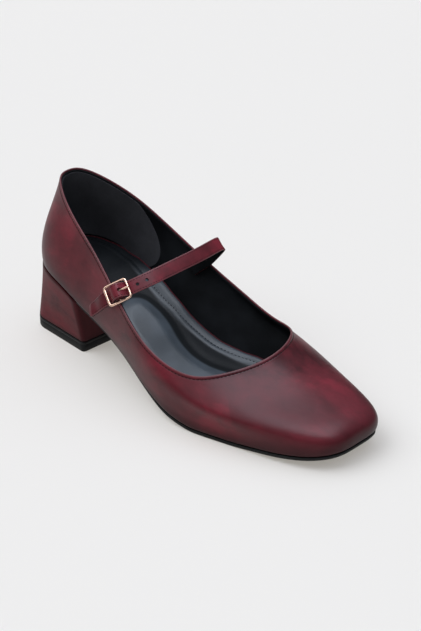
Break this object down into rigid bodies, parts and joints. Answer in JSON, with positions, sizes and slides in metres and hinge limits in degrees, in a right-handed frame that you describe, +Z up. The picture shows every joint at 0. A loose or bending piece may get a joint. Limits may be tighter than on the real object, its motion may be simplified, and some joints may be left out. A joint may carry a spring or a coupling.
{
  "type": "mary jane pump",
  "caption": "Right mary jane pump in antiqued burgundy leather with a square toe, an instep strap, a rose gold buckle and a block heel.",
  "frame": {"origin": "on the floor, under the middle of the shoe's box", "axes": "+X from heel to toe, +Y towards the other foot (the inner side of a right shoe), +Z up"},
  "size_m": [0.2474, 0.0938, 0.1049],
  "materials": {
    "burgundy_leather": "semi-gloss, antiqued",
    "heel_leather": "semi-gloss, antiqued",
    "black_sock": "satin",
    "black_sole": "matte",
    "rose_gold": "polished"
  },
  "bodies": {
    "root": {"upper": "burgundy_leather", "insole": "black_sock", "outsole": "black_sole", "heel": "heel_leather", "heel_lift": "black_sole", "strap": "burgundy_leather", "buckle_tab": "burgundy_leather", "buckle_frame": "rose_gold", "buckle_prong": "rose_gold"}
  },
  "joints": []
}
